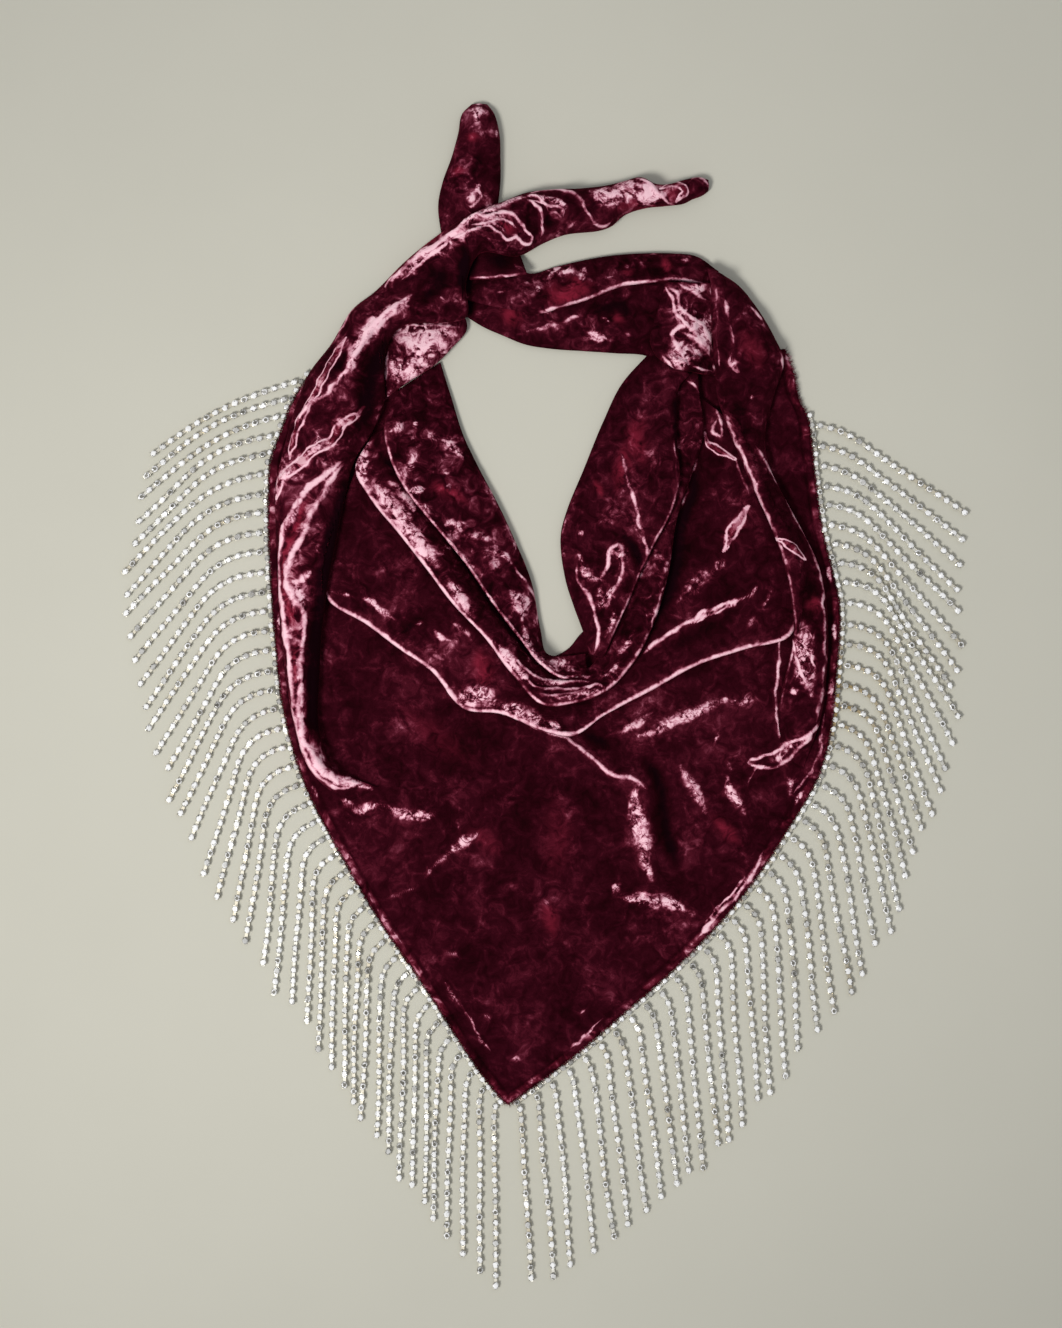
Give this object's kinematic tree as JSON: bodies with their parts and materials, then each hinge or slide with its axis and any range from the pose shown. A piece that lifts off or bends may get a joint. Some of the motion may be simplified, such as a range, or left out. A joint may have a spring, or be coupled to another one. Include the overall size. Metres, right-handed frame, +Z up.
{
  "type": "triangular neck scarf",
  "caption": "Small triangular velvet scarf laid flat and tied behind the neck, with rhinestone chain fringe along its two short edges.",
  "frame": {"origin": "on the table, below the middle of the box round the scarf and its fringe", "axes": "+Z up from the table, +Y from the fringed point towards the tied ends, +X to the right as seen from above"},
  "size_m": [0.3849, 0.5364, 0.0209],
  "materials": {
    "velvet": "crushed pile, dark burgundy with pale pink sheen",
    "rhinestone": "clear faceted stones with foil backs",
    "claw_metal": "bright plated cups and links"
  },
  "bodies": {
    "root": {"front_panel": "velvet", "neck_band_lower": "velvet", "neck_band_upper": "velvet", "tail_up": "velvet", "cowl_lower": "velvet", "cowl_middle": "velvet", "cowl_right": "velvet", "cowl_inner": "velvet", "knot_turn": "velvet", "knot_flap": "velvet", "shoulder_fold": "velvet", "left_roll": "velvet", "rope": "velvet", "tail_right": "velvet", "right_roll": "velvet", "fringe_left": "rhinestone", "fringe_right": "rhinestone"}
  },
  "joints": []
}
